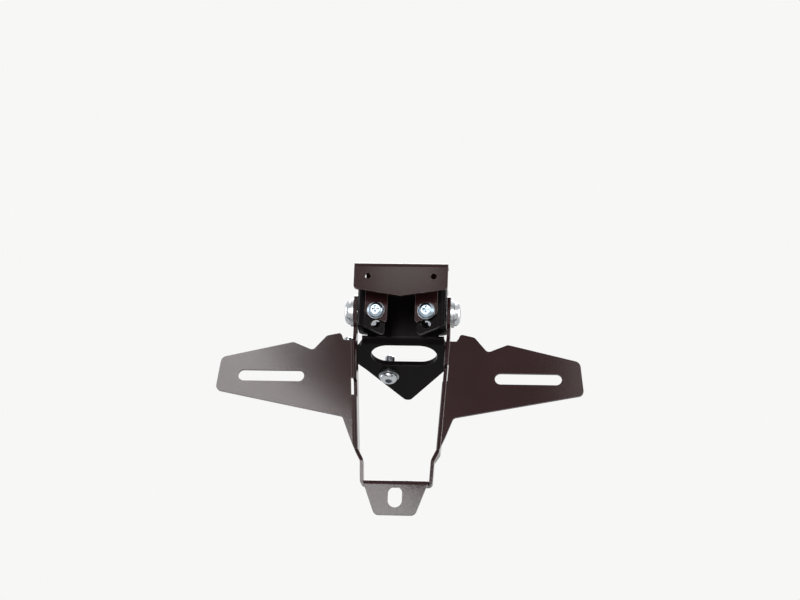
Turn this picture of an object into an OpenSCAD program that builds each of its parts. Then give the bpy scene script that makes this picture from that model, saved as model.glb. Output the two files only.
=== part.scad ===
// Tail tidy: folded plate hanger, mounting bracket and light bracket. Millimetres, Z up.
// Origin: midway between the two plate slots, on the rear face of the wings. Y points forward.

/* [Sheet] */
// Thickness of the plate hanger and light bracket sheet
sheet_t = 2; // [1.5:0.25:2.5]
// Thickness of the mounting bracket sheet
base_t = 3; // [2.5:0.25:3]

/* [Plate hanger] */
// Distance between the centres of the two long plate slots
slot_spacing = 147; // [144:0.5:149]
// End to end length of a plate slot
slot_len = 38; // [30:0.5:39]
// Height of a plate slot
slot_h = 6.5; // [5.5:0.5:7]
// Front edge of the side arms, ahead of the wing face
arm_front = 18; // [17:0.25:18]
// Radius of the round eyes at the top of the arms
eye_r = 10.3; // [9.5:0.1:10.5]
// Length of the slot in the bottom tab
tab_slot_len = 12.2; // [9:0.1:12.4]
// Width of the slot in the bottom tab
tab_slot_w = 8; // [6:0.2:8.4]

/* [Mounting bracket] */
// Fall of the base plate towards the front, in degrees
base_slope = 17; // [14:0.5:18]
// Reach of the base plate to its front point before rounding
base_reach = 65.5; // [60:0.5:70]
// Top of the front wall and the ears
wall_top = 57; // [50:1:58]
// Half length of the cable slot
cable_half = 19.5; // [17:0.5:20]

/* [Light bracket] */
// Half width of the apron
hood_half = 26.9; // [25:0.1:28]
// Rear face of the apron, behind the wing face
hood_depth = 15; // [13:0.5:16]
// Top of the shelf
hood_top = 64.2; // [62:0.2:66]
// Radius of the lamp holes
lamp_hole_r = 1.8; // [1.6:0.1:2.1]

/* [Fasteners] */
// Radius of the pivot bolt shank
pivot_r = 4; // [3.9:0.05:4]
// Height of a base bolt's end above the base plate
bolt_stand = 9.4; // [6:0.2:12]
// Radius of a base bolt's thread
thread_r = 2.95; // [2.9:0.01:2.97]

/* [Hidden] */
// Inside and outside bend radii of the thin sheet
bi = 0.8;
bo = bi + sheet_t;
// Inside and outside bend radii of the thick sheet
ki = 1.5;
ko = ki + base_t;
// Pivot axis height and depth
pz = 41.4;
py = 10;
// Inner face of the eyes, start and end of the tapering arm
arm_x = 26;
arm_z0 = 24;
arm_x1 = 22.2;
arm_z1 = -41.5;
lean = atan((arm_x - arm_x1) / (arm_z0 - arm_z1));
web_top = -59.8;
tab_end = -80.1;
// Outer face of the ears, base plate corner
ear_x = 25.7;
wall_y = 19;
wall_z = 27.05;
screw_x = 14.5;
screw_z = 38.5;
lug_x = 33.5;
lug_q = 16;
nose_x = -10;
nose_q = 35;
// Thickness of the washers under the pivot heads and the base bolts
plain = 1.6;
// Play on each side of an eye
play = 0.3;
// Wing points that move out with the slots
tip = slot_spacing / 2;
// Half width of the light bracket's legs
leg_half = hood_half - 6.1;

function unit(v) = v / norm(v);
function xy(p) = [p[0], p[1]];
function rad(p) = len(p) > 2 ? p[2] : 0;
// Arc points that round corner b between a and c
function arc3(a, b, c, r) = r <= 0 ? [b] :
    let (u = unit(a - b), w = unit(c - b), h = acos(u * w) / 2)
    let (m = b + unit(u + w) * r / sin(h), s = b + u * r / tan(h), e = b + w * r / tan(h))
    let (a0 = atan2(s[1] - m[1], s[0] - m[0]), a1 = atan2(e[1] - m[1], e[0] - m[0]))
    let (da = (a1 - a0 + 540) % 360 - 180, n = max(2, ceil(abs(da) / 11)))
    [for (i = [0:n]) m + r * [cos(a0 + da * i / n), sin(a0 + da * i / n)]];
// Outline with rounded corners from points that may carry a radius
function soft(p) = let (k = len(p)) [for (i = [0:k - 1])
    each arc3(xy(p[(i + k - 1) % k]), xy(p[i]), xy(p[(i + 1) % k]), rad(p[i]))];
function flip(p) = [for (q = p) [-q[0], q[1], rad(q)]];
function back(p) = [for (i = [len(p) - 1:-1:0]) p[i]];
function side(a, b) = let (u = unit(b - a)) [-u[1], u[0]];
// Path p moved sideways by d
function shift(p, d) = let (k = len(p)) [for (i = [0:k - 1])
    let (n1 = side(p[max(i - 1, 0)], p[max(i, 1)]), n2 = side(p[min(i, k - 2)], p[min(i + 1, k - 1)]))
    let (m = n1 + n2) p[i] + 2 * d * m / (m * m)];

module xz(y0, y1) {
    translate([0, y1, 0]) rotate([90, 0, 0]) linear_extrude(y1 - y0) children();
}
module yz(x0, x1) {
    translate([x0, 0, 0]) rotate([90, 0, 90]) linear_extrude(x1 - x0) children();
}
module on_base() {
    translate([0, wall_y, wall_z]) rotate([-base_slope, 0, 0]) children();
}
module pair() {
    children();
    mirror([1, 0, 0]) children();
}
module sided(s) {
    mirror([s < 0 ? 1 : 0, 0, 0]) children();
}
module slot2d(l, h) {
    square([l - h, h], center = true);
    translate([(h - l) / 2, 0]) circle(r = h / 2, $fn = 48);
    translate([(l - h) / 2, 0]) circle(r = h / 2, $fn = 48);
}

// Front view of one arm, its jog, the bend under it and half of the web
arm_path = [[arm_x, 53], [arm_x, arm_z0], [arm_x1, arm_z1], [19.2, -46.8], [18.6, web_top],
    [0, web_top]];
arm_far = shift(arm_path, sheet_t);
arm_ri = [0, 0, 2, 4.5, bi, 0];
arm_ro = [0, 0, 4.5, 2, bo, 0];
arm_in = [for (i = [0:4]) [arm_path[i][0], arm_path[i][1], arm_ri[i]]];
arm_out = [for (i = [0:4]) [arm_far[i][0], arm_far[i][1], arm_ro[i]]];

module arms() {
    intersection() {
        xz(3.4, arm_front) polygon(soft(concat(arm_out, back(flip(arm_out)), flip(arm_in), back(arm_in))));
        union() {
            yz(-32, 32) polygon(soft([[7, 36], [7, 26, 3], [3.4, 22.6, 1.5], [3.4, -42.2], [6, -47.2, 3],
                [6, -66], [12, -66], [12, -49, 6], [arm_front, -36, 10], [arm_front, 12, 8],
                [15.6, 25, 8], [15.6, 36]]));
            translate([-32, py, pz]) rotate([0, 90, 0]) cylinder(h = 64, r = eye_r, $fn = 72);
        }
    }
}

wing_edge = [[12, 21.8], [32.6, 21.8, 1.2], [34.4, 26.1, 1.6], [42.4, 24.3, 3], [50.1, 15.5, 2.5],
    [tip - 12, 20.2, 3], [tip + 29.2, 10.5, 4], [tip + 31.7, -8.9, 3], [31.7, -23.4, 2.5],
    [27.3, -34.8, 12], [24.1, -42.2], [12, -42.2]];

module wing() {
    intersection() {
        translate([arm_x, 0, arm_z0]) rotate([0, lean, 0]) translate([0, 0, -90]) linear_extrude(110)
            polygon(soft([[0, 3.6], [0, 0, bo], [tip + 22, 0], [tip + 22, sheet_t], [sheet_t, sheet_t, bi],
                [sheet_t, 3.6]]));
        xz(-1, 4) polygon(soft(wing_edge));
    }
}

module tab() {
    intersection() {
        yz(-18.6, 18.6) polygon(soft([[0, -84], [0, web_top, bo], [10, web_top], [10, web_top - sheet_t],
            [sheet_t, web_top - sheet_t, bi], [sheet_t, -84]]));
        union() {
            xz(-1, 5.2) polygon(soft([[-18.6, -59], [18.6, -59], [18.6, -60.6], [11.5, tab_end, 3.5],
                [-11.5, tab_end, 3.5], [-18.6, -60.6]]));
            xz(5, 11) square([33, 140], center = true);
        }
    }
}

// Slot through the bend between arm and wing, top edge at z
module tie_cut(z) {
    translate([arm_x, 0, arm_z0]) rotate([0, lean, 0]) translate([0, 0, z - arm_z0])
        yz(-1, bo + 0.2) polygon(soft([[-1, -10.1], [7.2, -10.1, 1.5], [7.2, 0, 1.5], [-1, 0]]));
}

module plate_hanger() {
    color([0.19, 0.16, 0.16]) difference() {
        union() {
            arms();
            pair() wing();
            tab();
        }
        translate([-32, py, pz]) rotate([0, 90, 0]) cylinder(h = 64, r = pivot_r + 0.05, $fn = 48);
        pair() xz(-1, 4) translate([slot_spacing / 2, 0]) slot2d(slot_len, slot_h);
        xz(-1, 2.75) translate([0, -69.7]) rotate(90) slot2d(tab_slot_len, tab_slot_w);
        tie_cut(8.4);
        mirror([1, 0, 0]) tie_cut(-0.4);
    }
}

module wrap() {
    t = base_t;
    e = ear_x;
    f = wall_y + t;
    translate([0, 0, 20]) linear_extrude(wall_top - 20) polygon(soft([[9.3, -2], [e, -2, ko], [e, f, ko],
        [-e, f, ko], [-e, -2, ko], [-9.3, -2], [-9.3, t - 2], [t - e, t - 2, ki], [t - e, wall_y, ki],
        [e - t, wall_y, ki], [e - t, t - 2, ki], [9.3, t - 2]]));
}

module fold() {
    t = base_t;
    c = cos(base_slope);
    s = sin(base_slope);
    l = 80;
    yz(-42, 42) polygon(soft([[wall_y, 34], [wall_y, wall_z, ko], [wall_y + l * c, wall_z - l * s],
        [wall_y + l * c + t * s, wall_z - l * s + t * c],
        [wall_y + t, wall_z + t / c - t * s / c, ki], [wall_y + t, 34]]));
}

base_edge = [[24, 2], [26.8, 8, 1.5], [lug_x + 6.5, 8, 6], [lug_x + 6.5, 24, 6], [28, 24, 2],
    [23.5, 30, 4]];

module base_plate() {
    intersection() {
        fold();
        union() {
            translate([-24, 17, 15]) cube([48, 6.5, 15.6]);
            translate([-20.9, 17, 30]) cube([41.8, 6, 4]);
            on_base() translate([0, 0, -1]) linear_extrude(base_t + 2)
                polygon(soft(concat(base_edge, [[0, base_reach, 3]], back(flip(base_edge)))));
        }
    }
}

module mounting_bracket() {
    color([0.06, 0.06, 0.065]) difference() {
        union() {
            intersection() {
                wrap();
                union() {
                    translate([-30, 3.2, 31.8]) cube([60, 30, 40]);
                    pair() xz(-3, 3.3) polygon(soft([[9.3, 24.5, 1.8], [26.2, 31.8], [26.2, 70],
                        [9.3, 70]]));
                }
            }
            base_plate();
        }
        pair() xz(-3, 2) translate([screw_x, screw_z]) circle(r = 2.45, $fn = 32);
        pair() xz(-3, 2) translate([screw_x, 31.6]) circle(r = 2.75, $fn = 32);
        translate([-32, py, pz]) rotate([0, 90, 0]) cylinder(h = 64, r = pivot_r + 0.2, $fn = 48);
        on_base() translate([0, 14.7, -1]) linear_extrude(base_t + 2) slot2d(2 * cable_half, 21);
        on_base() translate([nose_x, nose_q, -1]) cylinder(h = base_t + 2, r = 3.3, $fn = 40);
        pair() on_base() translate([lug_x, lug_q, -1]) cylinder(h = base_t + 2, r = 3.3, $fn = 40);
    }
}

module light_bracket() {
    t = sheet_t;
    d = -hood_depth;
    h = hood_top;
    leg = -2;
    color([0.19, 0.16, 0.16]) difference() {
        intersection() {
            yz(-30, 30) polygon(soft([[leg, 28], [leg, h, bo], [d, h, bo], [d, 40], [d + t, 40],
                [d + t, h - t, bi], [leg - t, h - t, bi], [leg - t, 28]]));
            union() {
                xz(d - 5, leg - t - 2) polygon(soft([[hood_half, h + 6], [hood_half, h - 15.9, 2],
                    [0, h - 20.1, 1.5], [-hood_half, h - 15.9, 2], [-hood_half, h + 6]]));
                xz(leg - t - 2.2, 0) polygon(soft([[-leg_half, h + 6], [-leg_half, 36.8, 3], [-8, 31.5, 1.2],
                    [-8, h - 7.2, 3], [8, h - 7.2, 3], [8, 31.5, 1.2], [leg_half, 36.8, 3],
                    [leg_half, h + 6]]));
            }
        }
        pair() xz(d - 1, d + t + 1) translate([hood_half - 8.1, h - 8.4]) circle(r = lamp_hole_r, $fn = 32);
        pair() xz(leg - t - 1, leg + 1) translate([screw_x, screw_z]) circle(r = 2.7, $fn = 32);
    }
}

// Domed head on z = 0 with the shank going down: hexagon socket af wide, or a cross recess where af is 0
module button_bolt(hr, hh, sr, sl, af) {
    dome = [for (i = [0:6]) [hr * 0.45 + hr * 0.55 * cos(i * 15), hh * 0.2 + hh * 0.8 * sin(i * 15)]];
    difference() {
        union() {
            rotate_extrude($fn = 60) polygon(concat([[0, 0], [hr, 0]], dome, [[0, hh]]));
            translate([0, 0, -sl]) cylinder(h = sl + 0.1, r = sr, $fn = 48);
        }
        if (af > 0) translate([0, 0, hh * 0.4]) cylinder(h = hh, r = af / sqrt(3), $fn = 6);
        if (af == 0) for (a = [0, 90]) rotate(a) translate([-hr / 2, -0.6, hh * 0.36]) cube([hr, 1.2, hh]);
    }
}
module ring(ro, ri, h) {
    difference() {
        cylinder(h = h, r = ro, $fn = 60);
        translate([0, 0, -1]) cylinder(h = h + 2, r = ri, $fn = 48);
    }
}
eye_out = arm_x + sheet_t + play;
nut_in = ear_x - base_t - plain - 7.8;
module along_x(x) {
    translate([x, py, pz]) rotate([0, 90, 0]) children();
}
module pivot_bolt(s) {
    color([0.72, 0.73, 0.75]) sided(s) along_x(eye_out + plain)
        button_bolt(7, 3.6, pivot_r, eye_out + plain - nut_in + 0.9, 5);
}
module pivot_outer_washer(s) {
    color([0.72, 0.73, 0.75]) sided(s) along_x(eye_out) ring(8, pivot_r + 0.2, plain);
}
module pivot_inner_washer(s) {
    color([0.72, 0.73, 0.75]) sided(s) along_x(ear_x - base_t - plain)
        ring(7.4, pivot_r + 0.2, plain);
}
module pivot_nut(s) {
    color([0.72, 0.73, 0.75]) sided(s) along_x(nut_in) difference() {
        union() {
            translate([0, 0, 1.8]) intersection() {
                cylinder(h = 6, r = 13 / sqrt(3), $fn = 6);
                translate([0, 0, -3]) cylinder(h = 9, r1 = 5, r2 = 11, $fn = 60);
            }
            cylinder(h = 2.2, r = 5.6, $fn = 60);
        }
        translate([0, 0, -1]) cylinder(h = 10, r = pivot_r - 0.05, $fn = 48);
    }
}
module light_screw(s) {
    color([0.74, 0.76, 0.8]) sided(s) translate([screw_x, -3 - sheet_t, screw_z]) rotate([90, 0, 0])
        button_bolt(4.7, 2.8, 2.5, 4.5 + sheet_t, 0);
}
module light_washer(s) {
    color([0.74, 0.76, 0.8]) sided(s) translate([screw_x, -2 - sheet_t, screw_z]) rotate([90, 0, 0])
        ring(5, 2.7, 1);
}
module base_bolt(x, q) {
    color([0.72, 0.73, 0.75]) on_base() translate([x, q, -plain]) rotate([180, 0, 0]) {
        button_bolt(5.25, 3.3, 3, plain + base_t, 4);
        translate([0, 0, -plain - base_t - 0.8]) cylinder(h = 1, r = 2.6, $fn = 48);
        translate([0, 0, -plain - base_t - bolt_stand]) cylinder(h = bolt_stand - 0.6, r = thread_r,
            $fn = 48);
    }
}
module base_washer(x, q) {
    color([0.72, 0.73, 0.75]) on_base() translate([x, q, -plain]) ring(6, 3.2, plain);
}

module pivot_bolt_left() {
    pivot_bolt(-1);
}
module pivot_bolt_right() {
    pivot_bolt(1);
}
module pivot_outer_washer_left() {
    pivot_outer_washer(-1);
}
module pivot_outer_washer_right() {
    pivot_outer_washer(1);
}
module pivot_inner_washer_left() {
    pivot_inner_washer(-1);
}
module pivot_inner_washer_right() {
    pivot_inner_washer(1);
}
module pivot_nut_left() {
    pivot_nut(-1);
}
module pivot_nut_right() {
    pivot_nut(1);
}
module light_screw_left() {
    light_screw(-1);
}
module light_screw_right() {
    light_screw(1);
}
module light_washer_left() {
    light_washer(-1);
}
module light_washer_right() {
    light_washer(1);
}
module base_bolt_front() {
    base_bolt(nose_x, nose_q);
}
module base_bolt_left() {
    base_bolt(-lug_x, lug_q);
}
module base_bolt_right() {
    base_bolt(lug_x, lug_q);
}
module base_washer_front() {
    base_washer(nose_x, nose_q);
}
module base_washer_left() {
    base_washer(-lug_x, lug_q);
}
module base_washer_right() {
    base_washer(lug_x, lug_q);
}

plate_hanger();
mounting_bracket();
light_bracket();
pivot_bolt_left();
pivot_bolt_right();
pivot_outer_washer_left();
pivot_outer_washer_right();
pivot_inner_washer_left();
pivot_inner_washer_right();
pivot_nut_left();
pivot_nut_right();
light_screw_left();
light_screw_right();
light_washer_left();
light_washer_right();
base_bolt_front();
base_bolt_left();
base_bolt_right();
base_washer_front();
base_washer_left();
base_washer_right();
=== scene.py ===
import math
import bmesh
import bpy
import numpy as np
from mathutils import Matrix, Quaternion, Vector


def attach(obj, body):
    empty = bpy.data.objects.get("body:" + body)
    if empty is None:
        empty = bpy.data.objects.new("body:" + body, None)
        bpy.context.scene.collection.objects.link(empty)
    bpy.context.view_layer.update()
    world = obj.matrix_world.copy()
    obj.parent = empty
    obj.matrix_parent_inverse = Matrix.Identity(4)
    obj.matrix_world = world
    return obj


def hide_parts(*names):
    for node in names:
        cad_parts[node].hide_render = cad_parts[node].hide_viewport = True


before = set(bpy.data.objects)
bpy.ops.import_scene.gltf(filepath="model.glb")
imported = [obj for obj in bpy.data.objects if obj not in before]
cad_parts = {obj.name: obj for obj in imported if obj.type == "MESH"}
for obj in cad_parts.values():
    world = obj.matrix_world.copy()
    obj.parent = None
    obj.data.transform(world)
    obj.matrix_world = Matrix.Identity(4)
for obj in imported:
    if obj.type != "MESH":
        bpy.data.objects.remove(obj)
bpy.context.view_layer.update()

scene = bpy.context.scene

# The viewing place. The tidy is seen from behind and from below, a little from its right side,
# through a long lens, with the frame rolled two degrees. The lens is aimed at the frame's origin,
# midway between the long plate slots.
side_turn = math.radians(4.24)
look_up = math.radians(-16.0)
roll = math.radians(2.07)
standoff = 1.2
ahead = Vector((
    -math.sin(side_turn) * math.cos(look_up),
    math.cos(side_turn) * math.cos(look_up),
    -math.sin(look_up)))
level = Vector((math.cos(side_turn), math.sin(side_turn), 0.0))
upright = level.cross(ahead)
right = level * math.cos(roll) + upright * math.sin(roll)
top = upright * math.cos(roll) - level * math.sin(roll)
long_lens = bpy.data.cameras.new("camera")
long_lens.lens = 94.74
long_lens.sensor_width = 36.0
long_lens.shift_x = 0.0011
long_lens.shift_y = 0.0966
long_lens.clip_start = 0.05
long_lens.clip_end = 40.0
camera = bpy.data.objects.new("camera", long_lens)
scene.collection.objects.link(camera)
camera.matrix_world = Matrix((
    (right.x, top.x, -ahead.x, -ahead.x * standoff),
    (right.y, top.y, -ahead.y, -ahead.y * standoff),
    (right.z, top.z, -ahead.z, -ahead.z * standoff),
    (0.0, 0.0, 0.0, 1.0)))
scene.camera = camera


# The studio. A plain pale floor lies well below the tidy, which is held up by its base bolts.
# Ten soft boxes light it: five behind it, which the satin sheet mirrors, and five at its sides, in
# front and above. A plain pale surround fills the rest.
class Link:
    """Wraps a shader socket, so that sums and products of links become Math nodes."""

    def __init__(self, tree, socket):
        self.tree = tree
        self.socket = socket

    def node(self, kind, settings=None, **inputs):
        """Adds one node and returns its first output. Its settings come first, then its sockets'
        values or links. A socket goes by its name, or by its number as i0, i1 and so on."""
        made = self.tree.nodes.new(kind)
        for key, value in (settings or {}).items():
            setattr(made, key, value)
        for key, value in inputs.items():
            numbered = key[0] == "i" and key[1:].isdigit()
            port = made.inputs[int(key[1:]) if numbered else key.replace("_", " ")]
            if isinstance(value, Link):
                self.tree.links.new(value.socket, port)
            else:
                port.default_value = value
        return Link(self.tree, made.outputs[0])

    def math(self, operation, other):
        return self.node("ShaderNodeMath", {"operation": operation}, i0=self, i1=other)

    def __add__(self, other):
        return self.math("ADD", other)

    def __mul__(self, other):
        return self.math("MULTIPLY", other)

    __radd__ = __add__
    __rmul__ = __mul__

    def step(self, low, high):
        """Rises smoothly from 0 at low to 1 at high."""
        smooth = {"interpolation_type": "SMOOTHSTEP"}
        return self.node("ShaderNodeMapRange", smooth, Value=self, i1=low, i2=high)

    def noise(self, waves, detail=2.0, roughness=0.5):
        """Smooth noise over this place, from 0 to 1, with so many waves to the metre."""
        return self.node(
            "ShaderNodeTexNoise", Vector=self, Scale=waves, Detail=detail, Roughness=roughness)

    def tint(self, low, high):
        """Mixes two colours by this link: low at 0 and high at 1."""
        made = self.tree.nodes.new("ShaderNodeMix")
        made.data_type = "RGBA"
        factor, low_port, high_port = (made.inputs[number] for number in (0, 6, 7))
        self.tree.links.new(self.socket, factor)
        for port, shade in ((low_port, low), (high_port, high)):
            if isinstance(shade, Link):
                self.tree.links.new(shade.socket, port)
            else:
                port.default_value = (*shade, 1.0)
        colour_output = 2
        return Link(self.tree, made.outputs[colour_output])


def finish_of(name, **fixed):
    """A new material with one Principled shader, and the fixed values of its sockets. Gives the
    material, the shader and the place on the object in metres."""
    made = bpy.data.materials.new(name)
    made.use_nodes = True
    shader = made.node_tree.nodes["Principled BSDF"]
    for key, value in fixed.items():
        shader.inputs[key.replace("_", " ")].default_value = value
    coordinates = made.node_tree.nodes.new("ShaderNodeTexCoord")
    return made, shader, Link(made.node_tree, coordinates.outputs["Object"])


def feed(shader, port, link):
    """Plugs a link into one socket of a shader."""
    link.tree.links.new(link.socket, shader.inputs[port])


def background_rays(tree):
    """1 for a camera, glossy or transmission ray and 0 for the rest, so that the background looks
    the same seen plainly, in metal or through a clear thing, and gives no extra light."""
    path = tree.nodes.new("ShaderNodeLightPath").outputs
    seen_plainly = Link(tree, path["Is Camera Ray"])
    in_metal = Link(tree, path["Is Glossy Ray"])
    through = Link(tree, path["Is Transmission Ray"])
    return seen_plainly.math("MAXIMUM", in_metal).math("MAXIMUM", through)


pale = (0.93, 0.93, 0.925, 1.0)
floor_z = -1.4
floor_reach = 25.0
floor_glow = 0.7
floor_mesh = bpy.data.meshes.new("studio_floor")
floor_mesh.from_pydata([
    (-floor_reach, -floor_reach, floor_z), (floor_reach, -floor_reach, floor_z),
    (floor_reach, floor_reach, floor_z), (-floor_reach, floor_reach, floor_z)], [], [(0, 1, 2, 3)])
floor = bpy.data.objects.new("studio_floor", floor_mesh)
scene.collection.objects.link(floor)
floor_finish, floor_shader = finish_of(
    "pale_floor", Roughness=0.8, Base_Color=(0.80, 0.80, 0.79, 1.0))[:2]
floor_mesh.materials.append(floor_finish)
floor_tree = floor_finish.node_tree
floor_seen = background_rays(floor_tree)
glow = floor_seen.node("ShaderNodeEmission", Color=pale, Strength=1.0)
floor_blend = floor_seen.node(
    "ShaderNodeMixShader", i0=floor_seen * floor_glow,
    i1=Link(floor_tree, floor_shader.outputs[0]), i2=glow)
feed(floor_tree.nodes["Material Output"], "Surface", floor_blend)

# Each soft box: its name, place and width in metres, power in watts, turn about its own axis in
# degrees, and colour. All face the origin. left_box, turned nearly to a diamond, gives the left
# wing its sheen that fades towards the arm, and hood_box is the soft patch on the apron.
soft_boxes = (
    ("left_box", (-0.419, -1.85, 0.260), 0.58, 24.2, 51.3, (1.0, 0.99, 0.985)),
    ("side_box", (-0.335, -1.85, 0.64), 0.14, 0.7, 0, (1.0, 1.0, 1.0)),
    ("low_box", (-0.13, -1.95, -0.42), 0.75, 4.5, 0, (1.0, 0.985, 0.97)),
    ("tip_box", (0.31, -1.85, 0.60), 0.40, 2.3, 0, (1.0, 1.0, 0.98)),
    ("hood_box", (-0.129, -1.85, 0.70), 0.10, 0.22, 0, (1.0, 0.96, 0.95)),
    ("right_box", (1.35, -0.9, 0.3), 0.8, 5.0, 0, (0.96, 0.98, 1.0)),
    ("far_left_box", (-1.5, 0.5, 0.4), 0.8, 7.0, 0, (1.0, 1.0, 1.0)),
    ("far_right_box", (1.5, 0.7, 0.4), 0.8, 5.0, 0, (1.0, 1.0, 1.0)),
    ("front_box", (0.1, 1.7, 1.5), 0.8, 20.0, 0, (1.0, 1.0, 1.0)),
    ("top_box", (0.2, 0.3, 1.5), 1.2, 6.0, 0, (1.0, 1.0, 1.0)))
for name, spot, width, power, twist, shade in soft_boxes:
    lamp = bpy.data.lights.new(name, "AREA")
    lamp.shape = "SQUARE"
    lamp.size = width
    lamp.energy = power
    lamp.color = shade
    holder = bpy.data.objects.new(name, lamp)
    holder.location = spot
    own_turn = Quaternion((0.0, 0.0, 1.0), math.radians(twist))
    aim = (-Vector(spot)).to_track_quat("-Z", "Y") @ own_turn
    holder.rotation_euler = aim.to_euler()
    scene.collection.objects.link(holder)

surround_light = 0.35
surround = bpy.data.worlds.new("surround")
surround.use_nodes = True
scene.world = surround
sky = surround.node_tree
sky.nodes.clear()
sky_seen = background_rays(sky)
lit = sky_seen.node("ShaderNodeBackground", Color=(1.0, 1.0, 1.0, 1.0), Strength=surround_light)
plain = sky_seen.node("ShaderNodeBackground", Color=pale, Strength=1.0)
sky_blend = sky_seen.node("ShaderNodeMixShader", i0=sky_seen, i1=lit, i2=plain)
feed(sky.nodes.new("ShaderNodeOutputWorld"), "Surface", sky_blend)
scene.view_settings.view_transform = "Standard"


# The plate hanger: one laser-cut steel sheet, folded at the arms, the wings and the tab, and powder
# coated in a satin brown-grey with a fine grain. The red-brown tint of that shade is painted
# reflection of the red tail lamp and the brown surroundings. Its cut edges are broken slightly, and
# the broken faces take a lighter coat, a painted highlight.
def powder_coat(name, dark, light, rough, grain, gloss, rough_swing=0.08):
    """A baked powder coat. Its shade drifts from dark to light in clouds of 70 mm, with pale
    specks of 0.4 mm and sparse dust of 1 mm. The roughness swings slowly about rough. The bump is
    an orange peel of 1.4 mm and the specks' grain."""
    made, shader, place = finish_of(name, Metallic=0.0, Specular_IOR_Level=gloss)
    cloud = place.noise(14.0, 3.0, 0.55).step(0.35, 0.65)
    speck = place.noise(2600.0, 1.0).step(0.4, 0.66)
    dust = place.noise(900.0, 2.0).step(0.66, 0.78)
    shade = cloud.tint(dark, light)
    shade = (speck * 0.35).tint(shade, tuple(2.1 * part for part in light))
    shade = (dust * 0.25).tint(shade, tuple(3.0 * part for part in light))
    feed(shader, "Base Color", shade)
    swing = place.noise(60.0, 2.0) * rough_swing + (rough - rough_swing / 2)
    feed(shader, "Roughness", swing + speck * 0.02)
    peel = place.noise(700.0, 2.0) * 0.7 + place.noise(2600.0, 1.0) * 0.3
    feed(shader, "Normal", peel.node("ShaderNodeBump", Strength=grain, Distance=0.0002, Height=peel))
    return made


def sheet_piece(node, body, coat, highlight_coat, broken=0.00028):
    """A welded copy of a folded sheet's solid, with its flats merged, smooth round its bends and
    its cut edges broken by the given width in metres. The broken faces take the second, lighter
    coat, which is a painted highlight."""
    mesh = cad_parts[node].data.copy()
    mesh.name = node + "_coated"
    build = bmesh.new()
    build.from_mesh(mesh)
    bmesh.ops.remove_doubles(build, verts=build.verts, dist=2e-6)
    flat_within = math.radians(0.4)
    bmesh.ops.dissolve_limit(build, angle_limit=flat_within, verts=build.verts, edges=build.edges)
    build.to_mesh(mesh)
    build.free()
    mesh.materials.clear()
    mesh.materials.append(coat)
    mesh.materials.append(highlight_coat)
    mesh.polygons.foreach_set("material_index", np.zeros(len(mesh.polygons), int))
    mesh.polygons.foreach_set("use_smooth", np.ones(len(mesh.polygons), bool))
    mesh.set_sharp_from_angle(angle=math.radians(28))
    piece = bpy.data.objects.new(mesh.name, mesh)
    scene.collection.objects.link(piece)
    edge = piece.modifiers.new("broken_edge", "BEVEL")
    edge.width = broken
    edge.segments = 2
    edge.limit_method = "ANGLE"
    edge.angle_limit = math.radians(32)
    # The bevel faces take the second slot, the lighter edge coat: a painted highlight.
    edge.material = 1
    edge.harden_normals = False
    even = piece.modifiers.new("even_normals", "WEIGHTED_NORMAL")
    even.keep_sharp = True
    even.weight = 90
    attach(piece, body)
    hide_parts(node)


# The red-brown tint of the hanger coat's shades is painted reflection of the red tail lamp and the
# brown surroundings.
hanger_coat = powder_coat(
    "hanger_coat_satin", (0.0145, 0.0048, 0.0052), (0.0200, 0.0072, 0.0076),
    rough=0.08, grain=0.045, gloss=0.14, rough_swing=0.02)
# The hanger's edge coat is far lighter than its coat: a painted highlight along the cut edges.
hanger_rim_highlight = powder_coat(
    "hanger_painted_edge_highlight", (0.085, 0.072, 0.070), (0.125, 0.107, 0.104),
    rough=0.30, grain=0.15, gloss=0.45)
sheet_piece("plate_hanger", "hanger", hanger_coat, hanger_rim_highlight)

# The mounting bracket: a thicker folded steel sheet, powder coated in a smoother and deeper black.
# The deeper black is painted shade: the coat is the hanger's, darkened for the shade and the dark
# ground that the base plate mirrors. Its sloping base plate has the bolts that fix the tidy, and its
# ears carry the pivots.
# The bracket's shades are the coat painted far darker than the hanger's: painted shade, for the dark
# ground that the base plate mirrors.
bracket_shaded_coat = powder_coat(
    "bracket_black_painted_shade", (0.0036, 0.0029, 0.0031), (0.0050, 0.0041, 0.0043),
    rough=0.16, grain=0.06, gloss=0.025, rough_swing=0.05)
# The bracket's edge coat is far lighter than its coat: a painted highlight along the cut edges.
bracket_rim_highlight = powder_coat(
    "bracket_painted_edge_highlight", (0.13, 0.118, 0.114), (0.19, 0.172, 0.167),
    rough=0.24, grain=0.10, gloss=0.45)
sheet_piece("mounting_bracket", "bracket", bracket_shaded_coat, bracket_rim_highlight)

# The light bracket: one folded sheet with two legs, a shelf and an apron, screwed to the turned-in
# tabs of the mounting bracket. It has the hanger's satin coat, and its edges are broken more.
sheet_piece("light_bracket", "bracket", hanger_coat, hanger_rim_highlight, broken=0.00045)


# The bolts and screws: zinc plated steel with domed heads, hexagon sockets or cross recesses, and
# rolled threads. Each one is a profile carried once round its axis, and sits on its washer.
def zinc_plate(name, shade, rough):
    """Zinc plate. Its shade drifts to a duller one in clouds of 5 mm, scuffs of 1 mm make its
    roughness swing about rough, and the bump is a faint orange peel of 0.7 mm."""
    made, shader, place = finish_of(name, Metallic=1.0)
    cloud = place.noise(220.0, 3.0).step(0.3, 0.7)
    duller = (shade[0] * 0.80, shade[1] * 0.83, shade[2] * 0.90)
    feed(shader, "Base Color", cloud.tint(shade, duller))
    scuff_swing = 0.22
    scuff = place.noise(900.0, 3.0, 0.6)
    feed(shader, "Roughness", scuff * scuff_swing + (rough - scuff_swing / 2))
    peel = place.noise(1500.0, 2.0)
    feed(shader, "Normal", peel.node("ShaderNodeBump", Strength=0.12, Distance=0.0001, Height=peel))
    return made


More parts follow.
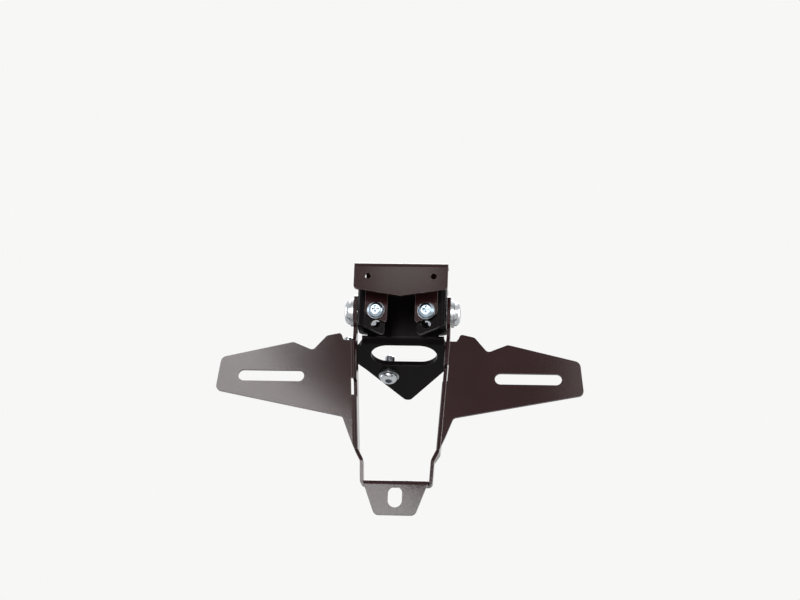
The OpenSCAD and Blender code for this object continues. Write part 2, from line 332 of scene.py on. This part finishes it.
bolt_zinc = zinc_plate("bolt_zinc_bright", (0.54, 0.55, 0.56), 0.19)
screw_zinc = zinc_plate("screw_zinc_blue", (0.42, 0.50, 0.56), 0.19)
PLAIN, KEYED, THREADED = range(3)


def head_rings(head_r, head_h, key, shank_r):
    """The rings of a domed head, from the middle of its recess out to the shank, each with its
    radius and height in mm and its kind. The dome is part of an ellipse: head_r times
    0.45 + 0.55 cos a, and head_h times 0.2 + 0.8 sin a, as a goes from 90 degrees to 0."""
    corner = key / math.sqrt(3) or head_r / 2
    if key:
        recess = [
            (0.0, 0.42, PLAIN), (0.55 * corner, 0.40, KEYED), (corner, 0.42, KEYED),
            (corner, 0.975, KEYED), (corner + 0.04, 0.995, PLAIN)]
    else:
        recess = [
            (0.0, 0.40, PLAIN), (0.3 * corner, 0.42, KEYED), (0.66 * corner, 0.48, KEYED),
            (corner, 0.985, KEYED), (corner + 0.05, 1.0, PLAIN)]
    recess = [(radius, share * head_h, kind) for radius, share, kind in recess]
    dome = [
        (head_r * (0.45 + 0.55 * math.cos(a)), head_h * (0.2 + 0.8 * math.sin(a)), PLAIN)
        for a in np.radians(np.linspace(90, 0, 15))]
    seat = [
        (head_r, head_h * 0.05, PLAIN), (head_r - 0.12, 0.0, PLAIN),
        (shank_r + 0.25, 0.0, PLAIN), (shank_r, -0.12, PLAIN)]
    return recess + dome + seat


def shank_rings(start, shank_r, shank, pitch, undercut):
    """The rings of a shank, from over the thread's start to its chamfered tip, an eighth of a
    pitch apart, with a groove over the thread where undercut is more than 0."""
    groove = []
    if undercut:
        groove = [
            (shank_r, start + 0.64, PLAIN), (shank_r - undercut, start + 0.56, PLAIN),
            (shank_r - undercut, start + 0.1, PLAIN)]
    thread = [(shank_r, start + 0.05, PLAIN)]
    thread += [(shank_r, z, THREADED) for z in np.arange(start, -shank + 0.7, -pitch / 8)]
    tip = [
        (shank_r - 0.35 * pitch, -shank + 0.62, PLAIN),
        (shank_r - 0.75 * pitch, -shank + 0.03, PLAIN),
        (shank_r - 0.85 * pitch, -shank, PLAIN), (0.0, -shank, PLAIN)]
    return groove + thread + tip


def recess_reach(key, angle):
    """How far a recess reaches at each angle, as a share of its radius. A hexagon: cos 30 over
    cos (angle within a sixth - 30). A cross: the longer of two bars, each the lesser of its half
    length over one of the angle's cosine and sine and its half width over the other."""
    if key:
        return np.cos(np.pi / 6) / np.cos(np.mod(angle, np.pi / 3) - np.pi / 6)
    half_length, half_width = 1.0, 0.25
    c = np.abs(np.cos(angle)) + 1e-9
    s = np.abs(np.sin(angle)) + 1e-9
    return np.maximum(
        np.minimum(half_length / c, half_width / s),
        np.minimum(half_width / c, half_length / s))


def domed_bolt(node, finish, seat, out, head, key, shank, pitch, neck, undercut=0.0):
    """Turns the rings round the axis: radius R(s), times the recess's reach on keyed rings, and
    height Z(s). On threaded rings the radius is less 0.58 pitch times a clipped triangle wave of
    height / pitch + angle / turn, which fades in over one pitch and halves at the tip. A key of 0
    is a cross recess. head and shank are radius and length in mm, neck is the plain length."""
    shank_r, shank_length = shank
    rings = head_rings(*head, key, shank_r)
    start = rings[-1][1] - neck
    rings += shank_rings(start, shank_r, shank_length, pitch, undercut)
    radius, height, kind = np.array(rings).T[:, :, None]
    turns = 72 if key else 144
    angle = np.linspace(0, 2 * np.pi, turns, endpoint=False)[None, :]
    phase = np.mod(height / pitch + angle / (2 * np.pi), 1.0)
    wave = np.clip(1.15 * np.abs(2 * phase - 1) - 0.075, 0, 1)
    fade = np.clip((start - height) / pitch, 0, 1)
    fade = fade * np.clip((height + shank_length - 0.5) / pitch, 0.5, 1)
    reach = radius * np.where(kind == KEYED, recess_reach(key, angle), 1.0)
    reach = reach - np.where(kind == THREADED, 0.58 * pitch * wave * fade, 0)
    local = np.stack([reach * np.cos(angle), reach * np.sin(angle), height + 0 * angle], -1)[1:-1]
    rows = len(local)
    poles = [[0, 0, height[0, 0]], [0, 0, height[-1, 0]]]
    local = np.concatenate([local.reshape(-1, 3), poles])
    z = np.array(out, float) / np.linalg.norm(out)
    x = np.cross([1.0, 0, 0] if abs(z[0]) < 0.9 else [0, 1.0, 0], z)
    x /= np.linalg.norm(x)
    points = (np.array(seat) + local @ np.array([x, np.cross(z, x), z])) / 1000
    row, column = np.meshgrid(np.arange(rows - 1), np.arange(turns), indexing="ij")
    beside = (column + 1) % turns
    walls = np.stack([
        row * turns + column, (row + 1) * turns + column,
        (row + 1) * turns + beside, row * turns + beside], -1).reshape(-1, 4)
    column = np.arange(turns)
    beside = (column + 1) % turns
    last_row = (rows - 1) * turns
    pole = np.full(turns, rows * turns)
    caps = np.concatenate([
        np.stack([pole, column, beside], -1),
        np.stack([pole + 1, last_row + beside, last_row + column], -1)])
    mesh = bpy.data.meshes.new(node + "_plated")
    mesh.from_pydata(points.tolist(), [], walls.tolist() + caps.tolist())
    mesh.polygons.foreach_set("use_smooth", np.ones(len(mesh.polygons), bool))
    mesh.set_sharp_from_angle(angle=math.radians(38))
    mesh.materials.append(finish)
    piece = bpy.data.objects.new(mesh.name, mesh)
    scene.collection.objects.link(piece)
    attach(piece, "bracket")
    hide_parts(node)


for way, word in ((-1, "left"), (1, "right")):
    domed_bolt(
        "pivot_bolt_" + word, bolt_zinc, seat=(29.9 * way, 10.0, 41.4), out=(way, 0, 0),
        head=(7.0, 3.6), key=5.0, shank=(4.0, 17.5), pitch=1.25, neck=6.0)
    domed_bolt(
        "light_screw_" + word, screw_zinc, seat=(14.5 * way, -5.0, 38.5), out=(0, -1, 0),
        head=(4.7, 2.8), key=0, shank=(2.5, 6.5), pitch=0.8, neck=0.9)
fall = math.radians(17)
fold_y, fold_z = 19.0, 27.05
washer = 1.6
for word, across, along in (("front", -10, 35), ("left", -33.5, 16), ("right", 33.5, 16)):
    seat_y = fold_y + along * math.cos(fall) - washer * math.sin(fall)
    seat_z = fold_z - along * math.sin(fall) - washer * math.cos(fall)
    domed_bolt(
        "base_bolt_" + word, bolt_zinc, seat=(across, seat_y, seat_z),
        out=(0, -math.sin(fall), -math.cos(fall)),
        head=(5.25, 3.3), key=4.0, shank=(2.95, 14.0), pitch=1.0, neck=5.1, undercut=0.35)

# The washers and nuts are stamped and pressed steel, and stay as they come from the solids. The
# pivot and base washers have a duller zinc, those of the light screws are dark as painted shade, for
# the shade and dark reflection under the hood, and the nuts are as bright as the bolts.
washer_zinc = zinc_plate("washer_zinc_dull", (0.42, 0.42, 0.42), 0.30)
# The light screws' washers are dark as painted shade, standing for the shade under the hood.
screw_washer_shaded = zinc_plate("screw_washer_painted_shade", (0.15, 0.155, 0.16), 0.34)
plating = {
    "pivot_nut": bolt_zinc, "light_washer": screw_washer_shaded, "pivot_outer_washer": washer_zinc,
    "pivot_inner_washer": washer_zinc, "base_washer": washer_zinc}
for node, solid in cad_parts.items():
    for kind, finish in plating.items():
        if node.startswith(kind):
            for finish_slot in solid.material_slots:
                finish_slot.material = finish
